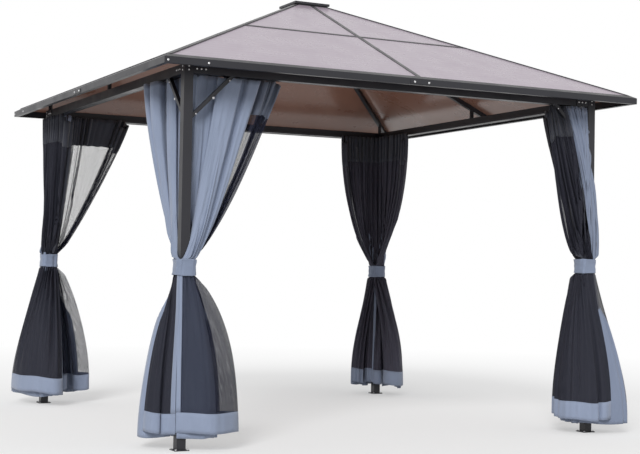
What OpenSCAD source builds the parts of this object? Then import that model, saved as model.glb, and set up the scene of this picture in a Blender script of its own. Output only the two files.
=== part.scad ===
// Square hardtop gazebo: four posts, a hipped roof of twin-wall panels on a
// metal frame, and a pair of gathered curtains tied back at every post.
// Millimetres, +Z up. The origin is on the floor at the middle of the plan.
// The front is -Y and the right is +X.

/* [Roof] */
// Length of each side of the roof, eave to eave
roof_side = 3000; // [2400:50:4200]
// Height of the top edge of the eave above the floor
eave_h = 2005; // [1900:5:2700]
// Slope of the four roof faces, in degrees
roof_pitch = 24.4; // [16:0.2:34]
// Thickness of the twin-wall roof panels
panel_t = 6; // [4:1:10]
// Share of the slope that the lower panels cover
seam_share = 0.54; // [0.35:0.01:0.7]
// Width of the strip that joins the lower and upper panels
seam_w = 18; // [12:1:30]
// Height of the outer face of the eave rail
eave_rail_h = 35; // [25:1:60]
// Width of the eave rail, seen from above
eave_rail_w = 30; // [20:1:50]
// Width of the hip and centre rafters
rafter_w = 26; // [20:1:40]
// Depth of the hip and centre rafters
rafter_d = 36; // [28:1:60]
// Length of each side of the square cap on the roof
cap_side = 244; // [200:4:400]
// Height of the upright edge of the cap
cap_edge_h = 14; // [8:1:30]
// Height of the low pyramid on the cap
cap_rise = 16; // [8:1:40]

/* [Frame] */
// Overhang of the roof past the middle of the posts
eave_overhang = 200; // [190:5:400]
// Width of each side of the square posts
post_w = 50; // [40:2:80]
// Drop from the top edge of the eave to the underside of the header beams
header_drop = 49; // [40:1:90]
// Height of the header beams
header_h = 50; // [40:2:80]
// Width of the header beams
header_w = 40; // [30:2:60]
// Wall thickness of the posts, beams and rafters
wall = 2; // [1.2:0.2:3]
// Reach of each knee brace along the post and along the beam
brace_reach = 240; // [160:10:360]
// Width of each knee brace
brace_w = 20; // [14:1:30]
// Width of the curtain track on the inner face of the beams
track_w = 16; // [12:1:24]
// Height of the curtain track
track_h = 14; // [10:1:20]

/* [Feet] */
// Width of the foot plate's rim, past each face of the post
foot_rim = 15; // [12:1:50]
// Thickness of the foot plates
foot_t = 5; // [4:1:10]
// Radius of the bolt holes in the corners of a foot plate
foot_hole_r = 3.5; // [2.5:0.5:4.5]

/* [Curtains] */
// How far a curtain reaches along the track from the middle of its post
curtain_reach = 560; // [360:20:700]
// Thickness of the gathered curtain under the track
curtain_t = 60; // [40:5:80]
// Height of the middle of a tieback above the floor, before its drop
tie_z = 1000; // [800:20:1200]
// Drop of each tieback: front left, front right, back right and back left
tie_drop = [55, 5, 60, 25]; // [0:5:100]
// Height of the tieback band
tie_h = 84; // [60:2:120]
// Thickness of the tieback band
tie_t = 4; // [2:1:8]
// Thickness of the bundle beside the post under the tieback
bundle_t = 44; // [36:2:60]
// Height of the curtain's lower edge above the floor
hem_z = 55; // [30:5:120]
// How far the loose lower end spreads along its side of the gazebo
skirt_reach = 330; // [240:10:420]
// How far the loose lower end spreads outside the post
skirt_out = 185; // [140:5:195]

/* [Hidden] */
eps = 1;
fit = 0.3;
steps = 9;
SIDES = ["front", "right", "back", "left"];
CORNERS = ["front_left", "front_right", "back_right", "back_left"];
// The curtain that follows each corner's first side, and the one that follows its second
FIRST_CURTAINS = ["front_curtain_left", "right_curtain_front", "back_curtain_right", "left_curtain_back"];
SECOND_CURTAINS = ["left_curtain_front", "front_curtain_right", "right_curtain_back", "back_curtain_left"];

roof_half = roof_side / 2;
cap_half = cap_side / 2;
cap_lip = 12;
cap_top_share = 0.3;
hub_below = 12;
hub_half = cap_half - cap_lip;
slope = tan(roof_pitch);
panel_drop = panel_t / cos(roof_pitch);
rafter_drop = rafter_d / cos(roof_pitch);
bar_proud = 3;
seam_proud = 3;
seam_at = roof_half - (roof_half - cap_half) * seam_share;
// The hub ends just above the hip rafters' tops, so the cap on it clears them
hub_top = ceil(roof_z(hub_half - rafter_w / 2 * sqrt(1 / 2)) + bar_proud);
hub_bottom = floor(roof_z(hub_half) - rafter_drop) - hub_below;

post_at = roof_half - eave_overhang;
header_z = eave_h - header_drop;
post_half = post_w / 2;
post_top = header_z + header_h;
foot_side = post_w + 2 * foot_rim;
foot_hole_at = post_half + foot_rim / 2;
stub_w = 20;
track_gap = 40;
track_slot = 5;
track_wall = 2;
brace_clear = 60;

bundle_out = post_half + bundle_t;
tie_in = -post_half - 2 * fit;
tie_out = bundle_out + fit;
tie_r = 12;

dark = [0.15, 0.13, 0.15];
smoke = [0.62, 0.56, 0.55, 0.85];
blue_grey = [0.52, 0.57, 0.66];

function names(kind, list) = [for (n = list) str(kind, "_", n)];

// Height of the roof's upper surface at a distance from the middle of the plan
function roof_z(y) = eave_h + (roof_half - y) * slope;

// Turns a part modelled at the front, or at the front left corner, to side or corner i
module at_side(i) {
    rotate([0, 0, 90 * i]) children();
}

module at_corner(i) {
    rotate([0, 0, 90 * i]) translate([-post_at, -post_at, 0]) children();
}

// A slab that follows the front roof face, from `top` above the surface down to `bottom` below it
module front_slope(top, bottom) {
    run = roof_half + eps;
    rotate([90, 0, 90])
        translate([0, 0, -run])
            linear_extrude(2 * run)
                polygon([
                    [-run, roof_z(run) - bottom], [-run, roof_z(run) + top],
                    [0, roof_z(0) + top], [0, roof_z(0) - bottom]
                ]);
}

// The front quarter of the plan between two distances from the middle
module front_quarter(near, far) {
    polygon([[-near, -near], [near, -near], [far, -far], [-far, -far]]);
}

// Keeps what lies between the hub and the eave rails
module between_hub_and_eaves() {
    reach = roof_half - eave_rail_w;
    intersection() {
        children();
        linear_extrude(roof_z(0) + eave_h)
            difference() {
                square(2 * reach, center = true);
                square(2 * hub_half, center = true);
            }
    }
}

// A straight bar under the roof surface, seen from the side with y as its run
module bar_profile(run_far, fall, top, bottom) {
    polygon([
        [-run_far, roof_z(run_far * fall) - bottom], [-run_far, roof_z(run_far * fall) + top],
        [0, roof_z(0) + top], [0, roof_z(0) - bottom]
    ]);
}

// A hollow rafter that runs from the hub to the eaves, towards -Y
module rafter_tube(run_far, fall) {
    rotate([90, 0, 90])
        difference() {
            linear_extrude(rafter_w, center = true)
                bar_profile(run_far, fall, bar_proud, rafter_drop);
            linear_extrude(rafter_w - 2 * wall, center = true)
                bar_profile(run_far + eps, fall, bar_proud - wall, rafter_drop - wall);
        }
}

module foot_plate(i) {
    color(dark)
        at_corner(i)
            difference() {
                translate([-foot_side / 2, -foot_side / 2, 0])
                    cube([foot_side, foot_side, foot_t]);
                for (x = [-1, 1], y = [-1, 1])
                    translate([x * foot_hole_at, y * foot_hole_at, -eps])
                        cylinder(h = foot_t + 2 * eps, r = foot_hole_r, $fn = 32);
            }
}

module post(i) {
    bore = post_w - 2 * wall;
    color(dark)
        at_corner(i)
            difference() {
                translate([-post_half, -post_half, foot_t])
                    cube([post_w, post_w, post_top - foot_t]);
                translate([-bore / 2, -bore / 2, foot_t + wall])
                    cube([bore, bore, post_top - foot_t - 2 * wall]);
            }
}

// The header is a box section with a slotted track along the foot of its inner face
module header_section() {
    difference() {
        square([header_w, header_h]);
        translate([wall, wall])
            square([header_w - 2 * wall, header_h - 2 * wall]);
    }
}

module track_section() {
    difference() {
        square([track_w, track_h]);
        translate([track_wall, track_wall])
            square([track_w - 2 * track_wall, track_h - 2 * track_wall]);
        translate([(track_w - track_slot) / 2, -eps])
            square([track_slot, track_wall + 2 * eps]);
    }
}

module header(i) {
    beam_l = 2 * post_at - post_w;
    track_l = beam_l - 2 * track_gap;
    color(dark)
        at_side(i)
            translate([0, -post_at, header_z])
                rotate([90, 0, 90])
                    union() {
                        translate([-header_w / 2, 0, -beam_l / 2])
                            linear_extrude(beam_l) header_section();
                        translate([header_w / 2, 0, -track_l / 2])
                            linear_extrude(track_l) track_section();
                    }
}

// One brace, in the plane of the beam, from the post's face up to the beam's underside
module knee_brace() {
    low = header_z - brace_reach;
    rise = brace_w * sqrt(2);
    rotate([90, 0, 0])
        linear_extrude(brace_w, center = true)
            polygon([
                [post_half, low], [post_half + brace_reach, header_z],
                [post_half + brace_reach - rise, header_z], [post_half, low + rise]
            ]);
}

module knee_braces(i) {
    color(dark)
        at_corner(i) {
            knee_brace();
            mirror([1, -1, 0]) knee_brace();
        }
}

module hip_rafter(i) {
    color(dark)
        between_hub_and_eaves()
            at_side(i)
                rotate([0, 0, -45])
                    rafter_tube(roof_half * sqrt(2), sqrt(1 / 2));
}

module centre_rafter(i) {
    color(dark)
        between_hub_and_eaves()
            at_side(i)
                rafter_tube(roof_half, 1);
}

// Short uprights that carry the rafters over the posts and over the middle of the beams
module stub(bottom, roof_drop) {
    intersection() {
        translate([-stub_w / 2, -post_at - stub_w / 2, bottom])
            cube([stub_w, stub_w, roof_z(0)]);
        front_slope(-roof_drop, roof_z(0));
    }
}

module corner_stub() {
    reach = post_at * sqrt(2);
    intersection() {
        translate([-stub_w / 2, -reach - stub_w / 2, post_top])
            cube([stub_w, stub_w, roof_z(0)]);
        rotate([90, 0, 90])
            linear_extrude(stub_w, center = true)
                polygon([
                    [-reach - stub_w, 0],
                    [-reach - stub_w, roof_z((reach + stub_w) * sqrt(1 / 2)) - rafter_drop],
                    [0, roof_z(0) - rafter_drop], [0, 0]
                ]);
    }
}

module rafter_stubs() {
    color(dark)
        for (i = [0:3]) {
            at_side(i) stub(post_top, rafter_drop);
            at_side(i) rotate([0, 0, -45]) corner_stub();
        }
}

// The rail's top follows the roof, and its ends are mitred with the next rails
module eave_rail(i) {
    inner = roof_half - eave_rail_w;
    color(dark)
        at_side(i)
            intersection() {
                rotate([90, 0, 90])
                    linear_extrude(2 * roof_side, center = true)
                        polygon([
                            [-roof_half, eave_h - eave_rail_h], [-roof_half, eave_h],
                            [-inner, roof_z(inner) + bar_proud],
                            [-inner, roof_z(inner) - rafter_drop - wall],
                            [-inner - wall, roof_z(inner) - rafter_drop - wall],
                            [-inner - wall, roof_z(inner) - wall],
                            [-roof_half + wall, eave_h - wall],
                            [-roof_half + wall, eave_h - eave_rail_h + wall],
                            [-inner - 2 * wall, eave_h - eave_rail_h + wall],
                            [-inner - 2 * wall, eave_h - eave_rail_h]
                        ]);
                linear_extrude(roof_z(0))
                    front_quarter(inner - eps, roof_half);
            }
}

// Plan of one panel: right of the centre rafter, between two distances from the middle
module panel_plan(near, far) {
    half_bar = rafter_w / 2;
    hip = half_bar * sqrt(2);
    polygon([
        [half_bar, -near], [near - hip, -near],
        [far - hip, -far], [half_bar, -far]
    ]);
}

module panel_pair(near, far) {
    for (m = [0, 1])
        mirror([m, 0, 0])
            intersection() {
                front_slope(0, panel_drop);
                linear_extrude(roof_z(0)) panel_plan(near, far);
            }
}

module roof_panels(i) {
    color(smoke)
        at_side(i) {
            panel_pair(seam_at + seam_w / 2, roof_half - eave_rail_w);
            panel_pair(hub_half, seam_at - seam_w / 2);
        }
}

module seam_strips() {
    color(dark)
        for (i = [0:3], m = [0, 1])
            at_side(i)
                mirror([m, 0, 0])
                    intersection() {
                        front_slope(seam_proud, panel_drop + seam_proud);
                        linear_extrude(roof_z(0))
                            panel_plan(seam_at - seam_w / 2, seam_at + seam_w / 2);
                    }
}

module roof_hub() {
    color(dark)
        translate([-hub_half, -hub_half, hub_bottom])
            difference() {
                cube([2 * hub_half, 2 * hub_half, hub_top - hub_bottom]);
                translate([wall, wall, -eps])
                    cube([2 * (hub_half - wall), 2 * (hub_half - wall), hub_top - hub_bottom + eps - wall]);
            }
}

module roof_cap() {
    top_side = cap_side * cap_top_share;
    color(dark)
        translate([0, 0, hub_top]) {
            translate([-cap_half, -cap_half, 0])
                cube([cap_side, cap_side, cap_edge_h]);
            hull() {
                translate([-cap_half, -cap_half, cap_edge_h - eps])
                    cube([cap_side, cap_side, eps]);
                translate([-top_side / 2, -top_side / 2, cap_edge_h])
                    cube([top_side, top_side, cap_rise]);
            }
        }
}

// Outlines of one gathered curtain in plan, from the post's middle along its own side.
// Each has the same eight points, and stays on its own side of the corner's diagonal.
// At the hem the third point lies on that diagonal, outside the post, where the two
// curtains of a corner meet.
function curtain_top_plan() = let (a = post_half + 2, b = a + curtain_t) [
    [a + fit, a], [a + 18, a], [a + curtain_reach * 0.14, a], [a + curtain_reach * 0.27, a],
    [a + curtain_reach * 0.55, a], [curtain_reach, a], [curtain_reach, b], [b + fit, b]
];
function curtain_tie_plan() = let (a = post_half + fit, b = bundle_out) [
    [a + fit, a], [a, -a], [a + bundle_t * 0.15, -a], [a + bundle_t * 0.4, -a],
    [a + bundle_t * 0.7, -a], [b, -a + 8], [b, bundle_t * 0.8], [b, b - fit]
];
function curtain_hem_plan() = let (a = post_half + fit, c = skirt_out * 0.97, in = post_half + 90) [
    [a + fit, a], [a, -a], [-c + fit, -c - fit], [-30, -skirt_out],
    [skirt_reach * 0.35, -skirt_out * 0.85], [skirt_reach, -60], [skirt_reach, 60], [in + fit, in]
];

// One ring of the curtain, between two outlines: a share t of the way along its side
// of the gazebo, and a share s of the way across it. Its first and last points follow
// the corner's diagonal, so both of their shares are s.
function ring(from, to, t, s, z) = [
    for (k = [0:len(from) - 1])
        let (along = k == 0 || k == len(from) - 1 ? s : t)
            [from[k][0] * (1 - along) + to[k][0] * along, from[k][1] * (1 - s) + to[k][1] * s, z]
];

module loft(rings) {
    n = len(rings[0]);
    last = len(rings) - 1;
    points = [for (r = rings) each r];
    sides = [
        for (j = [0:last - 1], k = [0:n - 1])
            let (p = j * n + k, q = j * n + (k + 1) % n)
                each [[p, p + n, q], [q, p + n, q + n]]
    ];
    floor_face = [for (k = [0:n - 1]) k];
    top_face = [for (k = [n - 1:-1:0]) last * n + k];
    polyhedron(points, concat(sides, [floor_face], [top_face]), convexity = 6);
}

function tie_middle(i) = tie_z - tie_drop[i];

module curtain(i) {
    low = tie_middle(i) - tie_h / 2 - 20;
    high = tie_middle(i) + tie_h / 2 + 20;
    top = header_z - fit;
    // The curtain passes inside the knee brace, so it leans in below the brace's foot
    lean_z = header_z - brace_reach - brace_clear;
    skirt = [
        for (j = [0:steps])
            let (t = pow(1 - j / steps, 0.75))
                ring(curtain_tie_plan(), curtain_hem_plan(), t, t, hem_z + (low - hem_z) * j / steps)
    ];
    drape = [
        for (j = [0:steps])
            let (z = high + (top - high) * j / steps, s = min(1, (z - high) / (lean_z - high)))
                ring(curtain_tie_plan(), curtain_top_plan(), pow(j / steps, 0.85), s, z)
    ];
    loft(concat(skirt, drape));
}

module first_curtain(i) {
    color(blue_grey) at_corner(i) curtain(i);
}

module second_curtain(i) {
    color(blue_grey) at_corner(i) mirror([1, -1, 0]) curtain(i);
}

module rounded_square(low, high, r) {
    side = high - low;
    translate([low, low + r]) square([side, side - 2 * r]);
    translate([low + r, low]) square([side - 2 * r, side]);
    for (x = [low + r, high - r], y = [low + r, high - r])
        translate([x, y]) circle(r, $fn = 48);
}

module tieback(i) {
    color(blue_grey)
        at_corner(i)
            translate([0, 0, tie_middle(i) - tie_h / 2])
                linear_extrude(tie_h)
                    difference() {
                        rounded_square(tie_in - tie_t, tie_out + tie_t, tie_r);
                        translate([tie_in, tie_in]) square(tie_out - tie_in);
                    }
}

for (i = [0:3]) {
    foot_plate(i);
    post(i);
    header(i);
    knee_braces(i);
    hip_rafter(i);
    centre_rafter(i);
    eave_rail(i);
    roof_panels(i);
    first_curtain(i);
    second_curtain(i);
    tieback(i);
}
rafter_stubs();
seam_strips();
roof_hub();
roof_cap();
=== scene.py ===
import math

import bmesh
import bpy
import numpy as np
from mathutils import Matrix, Vector


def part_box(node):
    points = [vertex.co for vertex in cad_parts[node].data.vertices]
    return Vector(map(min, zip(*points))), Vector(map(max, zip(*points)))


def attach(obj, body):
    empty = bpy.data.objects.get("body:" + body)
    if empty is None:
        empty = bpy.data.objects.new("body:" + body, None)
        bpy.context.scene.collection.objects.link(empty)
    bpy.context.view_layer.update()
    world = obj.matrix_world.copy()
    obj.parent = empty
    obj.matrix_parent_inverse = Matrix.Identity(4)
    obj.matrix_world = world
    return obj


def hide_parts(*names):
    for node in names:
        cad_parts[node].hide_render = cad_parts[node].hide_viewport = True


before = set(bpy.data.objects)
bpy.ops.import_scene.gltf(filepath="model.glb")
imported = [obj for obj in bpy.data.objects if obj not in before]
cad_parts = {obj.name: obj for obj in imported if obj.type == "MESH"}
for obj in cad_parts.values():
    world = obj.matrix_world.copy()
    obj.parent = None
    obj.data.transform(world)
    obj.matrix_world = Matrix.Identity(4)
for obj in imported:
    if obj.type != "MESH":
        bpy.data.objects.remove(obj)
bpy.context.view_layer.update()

# ---------------------------------------------------------------- names and places
CORNERS = ("front_left", "front_right", "back_right", "back_left")
SIDES = ("front", "right", "back", "left")
# The curtain along each corner's local u, and the one along its local v.
FIRST = ("front_curtain_left", "right_curtain_front", "back_curtain_right", "left_curtain_back")
SECOND = ("left_curtain_front", "front_curtain_right", "right_curtain_back", "back_curtain_left")

POST_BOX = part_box("post_front_left")
POST_AT = (POST_BOX[0] + POST_BOX[1]) / 2
POST_HALF = (POST_BOX[1].x - POST_BOX[0].x) / 2
HEADER_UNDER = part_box("header_front")[0].z
CURTAIN_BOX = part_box("front_curtain_left")
EAVE_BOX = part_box("eave_rail_front")
BRACE_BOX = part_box("knee_braces_front_left")
BRACE_END = BRACE_BOX[1].x - POST_AT.x


def corner_matrix(i):
    """Local frame of corner i: origin on the post's middle line, u and v along the two sides."""
    return side_matrix(i) @ Matrix.Translation((POST_AT.x, POST_AT.y, 0))


def side_matrix(i):
    return Matrix.Rotation(math.radians(90 * i), 4, "Z")


def tie_heights(corner):
    low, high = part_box("tieback_" + CORNERS[corner])
    return low.z, high.z


# ---------------------------------------------------------------- material helpers
def material(name, **sockets):
    mat = bpy.data.materials.new(name)
    mat.use_nodes = True
    shader = mat.node_tree.nodes["Principled BSDF"]
    for key, value in sockets.items():
        shader.inputs[key.replace("_", " ")].default_value = value
    return mat, mat.node_tree, shader


def add(tree, kind, **settings):
    node = tree.nodes.new(kind)
    for key, value in settings.items():
        if hasattr(node, key):
            setattr(node, key, value)
        else:
            node.inputs[key.replace("_", " ")].default_value = value
    return node


def coordinates(tree, source="Object", scale=(1, 1, 1)):
    place = add(tree, "ShaderNodeMapping")
    place.inputs["Scale"].default_value = scale
    tree.links.new(add(tree, "ShaderNodeTexCoord").outputs[source], place.inputs["Vector"])
    return place.outputs["Vector"]


def noise(tree, where, scale, detail=2.0):
    node = add(tree, "ShaderNodeTexNoise", Scale=scale, Detail=detail)
    tree.links.new(where, node.inputs["Vector"])
    return node.outputs["Fac"]


def spread(tree, value, low, high, out_low=0.0, out_high=1.0):
    """value from low..high brought to out_low..out_high, and held there."""
    node = add(tree, "ShaderNodeMapRange")
    for key, number in zip(("From Min", "From Max", "To Min", "To Max"), (low, high, out_low, out_high)):
        node.inputs[key].default_value = number
    tree.links.new(value, node.inputs["Value"])
    return node.outputs["Result"]


def maths(tree, what, a, b=None):
    node = add(tree, "ShaderNodeMath", operation=what)
    for socket, value in zip(node.inputs, (a, b)):
        if isinstance(value, (int, float)):
            socket.default_value = value
        elif value is not None:
            tree.links.new(value, socket)
    return node.outputs["Value"]


def blend(tree, factor, first, second):
    """Colour mix; a colour is a triple or a socket."""
    node = add(tree, "ShaderNodeMix", data_type="RGBA")
    tree.links.new(factor, node.inputs["Factor"])
    for socket, value in ((node.inputs[6], first), (node.inputs[7], second)):
        if isinstance(value, tuple):
            socket.default_value = (*value, 1)
        else:
            tree.links.new(value, socket)
    return node.outputs[2]


def bump(tree, shader, layers):
    """Chains bumps of (height, strength, distance) into the shader's normal."""
    last = None
    for height, strength, distance in layers:
        node = add(tree, "ShaderNodeBump", Strength=strength, Distance=distance)
        tree.links.new(height, node.inputs["Height"])
        if last:
            tree.links.new(last, node.inputs["Normal"])
        last = node.outputs["Normal"]
    tree.links.new(last, shader.inputs["Normal"])


def axis_value(tree, vector, axis):
    parts = add(tree, "ShaderNodeSeparateXYZ")
    tree.links.new(vector, parts.inputs["Vector"])
    return parts.outputs[axis]


def facing_up(tree):
    """1 where the surface faces up, 0 where it stands upright, -1 where it faces down."""
    return axis_value(tree, add(tree, "ShaderNodeNewGeometry").outputs["Normal"], "Z")


def stripes(tree, value, pitch):
    """Sine stripes of that pitch along a value in metres."""
    return maths(tree, "SINE", maths(tree, "MULTIPLY", value, math.tau / pitch))


# ---------------------------------------------------------------- materials
FLUTE_PITCH = 0.0044
FLUTE_BAND_PITCH = 0.019
THREAD_PITCH = 0.0011
NET_PITCH = 0.0024
NET_THREAD_ALPHA = 0.93


def make_frame_metal():
    """Near-black satin powder coat: fine orange peel, faint mottling, dust on what faces up."""
    mat, tree, shader = material("frame_metal", Metallic=0.0)
    where = coordinates(tree)
    cloudy = noise(tree, where, 7, 4)
    fine = noise(tree, where, 420, 2)
    base = blend(tree, cloudy, (0.0085, 0.0085, 0.0125), (0.0155, 0.0155, 0.0215))
    dust = maths(tree, "MULTIPLY", spread(tree, facing_up(tree), 0.7, 1.0, 0, 0.3), noise(tree, where, 19, 5))
    tree.links.new(blend(tree, dust, base, (0.17, 0.16, 0.15)), shader.inputs["Base Color"])
    tree.links.new(spread(tree, cloudy, 0.3, 0.7, 0.34, 0.48), shader.inputs["Roughness"])
    bump(tree, shader, [(fine, 0.12, 0.0004)])
    return mat


def make_roof_sheet():
    """Bronze twin-wall sheet: glossy skin, fine level flutes; browner from below, where light through the
    sheet is painted in, and paler above, where a sky sheen is painted in.
    """
    mat, tree, shader = material("roof_sheet", IOR=1.5, Coat_Weight=0.12, Coat_Roughness=0.12)
    shader.inputs["Specular IOR Level"].default_value = 0.3
    where = coordinates(tree)
    cloudy = noise(tree, where, 1.6, 4)
    blotches = noise(tree, where, 6.5, 5)
    height = axis_value(tree, where, "Z")
    flute = stripes(tree, height, FLUTE_PITCH)
    band = stripes(tree, height, FLUTE_BAND_PITCH)
    # Underside: bronze with painted light through the sheet; its cloudy blotches are partly painted blurred
    # reflections and partly mottling.
    under = blend(tree, cloudy, (0.140, 0.066, 0.050), (0.270, 0.132, 0.092))
    under = blend(tree, maths(tree, "MULTIPLY", blotches, 0.35), under, (0.33, 0.18, 0.125))
    # Top: paler and greyer than the underside, a painted sky sheen.
    top = blend(tree, cloudy, (0.378, 0.314, 0.374), (0.430, 0.364, 0.430))
    top = blend(tree, spread(tree, band, -1, 1, 0, 0.10), top, (0.17, 0.13, 0.15))
    # Painted light: the sheet is paler where it faces up and browner where it faces down.
    base = blend(tree, spread(tree, facing_up(tree), -0.1, 0.1), under, top)
    tree.links.new(base, shader.inputs["Base Color"])
    tree.links.new(spread(tree, blotches, 0.3, 0.7, 0.24, 0.36), shader.inputs["Roughness"])
    bump(tree, shader, [(flute, 0.10, 0.0006), (cloudy, 0.25, 0.004)])
    return mat


def weave(tree, cloth):
    """Height of a plain weave over metres of cloth."""
    across, along = (stripes(tree, axis_value(tree, cloth, axis), THREAD_PITCH) for axis in ("X", "Y"))
    return maths(tree, "MULTIPLY", across, along)


def make_fabric(name, lit, shade):
    """Blue-grey polyester: plain weave, soft vertical creases with painted shade in them, faint fading."""
    mat, tree, shader = material(name, Roughness=0.82, Sheen_Weight=0.25, Sheen_Roughness=0.5)
    cloth = coordinates(tree, "UV")
    creases = noise(tree, coordinates(tree, "UV", (34, 4.5, 1)), 1.0, 3)
    soft = noise(tree, coordinates(tree, "UV", (9, 3.5, 1)), 1.0, 3)
    thread = noise(tree, coordinates(tree, "UV", (900, 60, 1)), 1.0, 1)
    # Painted shade: the soft crease noise mixes the shade colour into the lit one.
    base = blend(tree, soft, shade, lit)
    base = blend(tree, maths(tree, "MULTIPLY", thread, 0.22), base, tuple(0.8 * x for x in lit))
    tree.links.new(base, shader.inputs["Base Color"])
    bump(tree, shader, [(weave(tree, cloth), 0.25, 0.0004), (creases, 0.38, 0.008), (soft, 0.50, 0.022)])
    return mat


def make_netting(name, thin, dark=(0.009, 0.0105, 0.025), pale=(0.018, 0.021, 0.043)):
    """Near-black mosquito netting: threads of a square mesh, with an alpha of thin between them."""
    mat, tree, shader = material(name, Roughness=0.75)
    shader.inputs["Specular IOR Level"].default_value = 0.25
    cloth = coordinates(tree, "UV")
    streaks = noise(tree, coordinates(tree, "UV", (60, 1.6, 1)), 1.0, 3)
    threads = []
    for axis in ("X", "Y"):
        threads.append(spread(tree, stripes(tree, axis_value(tree, cloth, axis), NET_PITCH), 0.45, 0.75))
    cover = maths(tree, "MAXIMUM", *threads)
    solid = spread(tree, cover, 0, 1, thin, NET_THREAD_ALPHA)
    solid = maths(tree, "ADD", solid, spread(tree, streaks, 0.5, 0.8, 0.0, 0.10))
    alpha = add(tree, "ShaderNodeClamp")
    tree.links.new(solid, alpha.inputs["Value"])
    tree.links.new(alpha.outputs["Result"], shader.inputs["Alpha"])
    tree.links.new(blend(tree, streaks, dark, pale), shader.inputs["Base Color"])
    bump(tree, shader, [(cover, 0.3, 0.0003)])
    return mat


def make_fastener():
    """Bright zinc-plated screw heads with turning marks."""
    mat, tree, shader = material("fastener", Metallic=0.85)
    grain = noise(tree, coordinates(tree), 900, 3)
    tree.links.new(blend(tree, grain, (0.62, 0.62, 0.63), (0.82, 0.82, 0.83)), shader.inputs["Base Color"])
    tree.links.new(spread(tree, grain, 0.3, 0.7, 0.25, 0.42), shader.inputs["Roughness"])
    bump(tree, shader, [(grain, 0.15, 0.0002)])
    return mat


METAL = make_frame_metal()
SHEET = make_roof_sheet()
FABRIC = make_fabric("curtain_fabric", (0.290, 0.342, 0.468), (0.198, 0.240, 0.334))
SHADED_FABRIC = make_fabric("shaded_fabric", (0.222, 0.264, 0.368), (0.164, 0.199, 0.280))
# Tieback cloth: the curtain fabric a little darker, painted shade.
SHADED_TIE_FABRIC = make_fabric("shaded_tie_fabric", (0.235, 0.283, 0.395), (0.180, 0.218, 0.305))
# Header cloth of the front left post: the curtain fabric darkened, painted shade.
SHADED_HEADER_FABRIC = make_fabric("shaded_header_fabric", (0.150, 0.175, 0.240), (0.100, 0.118, 0.165))
DARK_FABRIC = make_fabric("dark_fabric", (0.036, 0.040, 0.058), (0.022, 0.024, 0.036))
NETTING = make_netting("netting", 0.40)
CLEAR_NETTING = make_netting("clear_netting", 0.02)
# Painted shade: a more opaque copy of the netting, dark where the shade behind it would show through.
DENSE_SHADED_NETTING = make_netting("dense_shaded_netting", 0.80, (0.013, 0.0135, 0.022), (0.027, 0.028, 0.041))
# Painted light: a more opaque, paler copy of the netting, for the back right post.
DENSE_LIT_NETTING = make_netting("dense_lit_netting", 0.80, (0.046, 0.044, 0.064), (0.078, 0.075, 0.102))
ZINC = make_fastener()


def dress_cad():
    """Gives every CAD node its material."""
    for name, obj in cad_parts.items():
        if name.startswith("roof_panels"):
            mat = SHEET
        elif "curtain" in name or name.startswith("tieback"):
            mat = FABRIC
        else:
            mat = METAL
        for place in obj.material_slots:
            place.material = mat
        if not obj.material_slots:
            obj.data.materials.append(mat)


# ---------------------------------------------------------------- pieces
def make_piece(name, mesh, mat, matrix, smooth=True):
    """Makes a mesh in a corner's or a side's frame a piece of the visual model."""
    mesh.transform(matrix)
    mesh.polygons.foreach_set("use_smooth", [smooth] * len(mesh.polygons))
    mesh.update()
    mesh.materials.append(mat)
    obj = bpy.data.objects.new(name, mesh)
    bpy.context.scene.collection.objects.link(obj)
    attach(obj, "root")
    return obj


def piece_of_bmesh(name, built, mat, matrix, smooth):
    mesh = bpy.data.meshes.new(name)
    built.to_mesh(mesh)
    built.free()
    return make_piece(name, mesh, mat, matrix, smooth)


def piece_of_cloth(name, verts, faces, uvs, mat, corner):
    """A piece in a corner's frame, with UVs in metres of cloth."""
    mesh = bpy.data.meshes.new(name)
    mesh.from_pydata([tuple(v) for v in verts], [], faces)
    layer = mesh.uv_layers.new(name="cloth")
    corner_verts = np.empty(len(mesh.loops), np.int32)
    mesh.loops.foreach_get("vertex_index", corner_verts)
    layer.uv.foreach_set("vector", np.asarray(uvs, np.float32)[corner_verts].ravel())
    return make_piece(name, mesh, mat, corner_matrix(corner))


def grid_faces(n_rows, n_cols, order):
    """Quads of a grid of points, row by row; order says how each goes round from its first point."""
    around = (0, n_cols, n_cols + 1, 1)
    firsts = (j * n_cols + i for j in range(n_rows - 1) for i in range(n_cols - 1))
    return [tuple(k + around[c] for c in order) for k in firsts]


def thicken(obj, thickness):
    mod = obj.modifiers.new("thickness", "SOLIDIFY")
    mod.thickness = thickness
    mod.offset = 0
    return obj


# ---------------------------------------------------------------- sizes of the cloth
SHEET_WIDTH = 1.3
CURTAIN_TOP = CURTAIN_BOX[1].z - 0.003
HEM_LOW = CURTAIN_BOX[0].z
HEM_BAND = 0.105
HEM_UNEVEN = 0.035
HEADER_BAND = 0.18
# Rows of the surface that the header and the hem take up.
HEADER_ROWS = 7
HEM_ROWS = 6

CLOTH_THICKNESS = 0.0012
TRIM_THICKNESS = 0.0016
TIE_THICKNESS = 0.003

# Length of every row of gathered cloth, and how deep its gathers and its slow sway may be.
CLOTH_LINE = 1.10
DEEPEST = 0.026
SWAY = 0.006
# Shares of the width over which gathers come in at the edges, and beside a smooth stretch.
EDGE_EASE = 0.05
QUIET_EASE = 0.03

# The tieback's plan in a corner's frame, the radius of its corners, and the room that it leaves inside.
BAND_LOW, BAND_HIGH = -0.0430, 0.0635
BAND_ROUND = 0.030
BAND_SKIN = 0.0045
POST_GAP = 0.003
# How much wider than the tieback the bundle may be a whole height away from it, in metres, and how much
# later it widens where the cloth has to stay in.
WIDENING = 0.9
LATE = 1.6
# How much sooner the far side of the skirt spreads than the side at the post.
FLARE = 0.32
# How far the cloth stays in under the netting, and where both lie on the post's outer side.
TUCK = 0.006
CLOTH_UNDER = -0.034
NET_OUTSIDE = -0.0375
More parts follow.
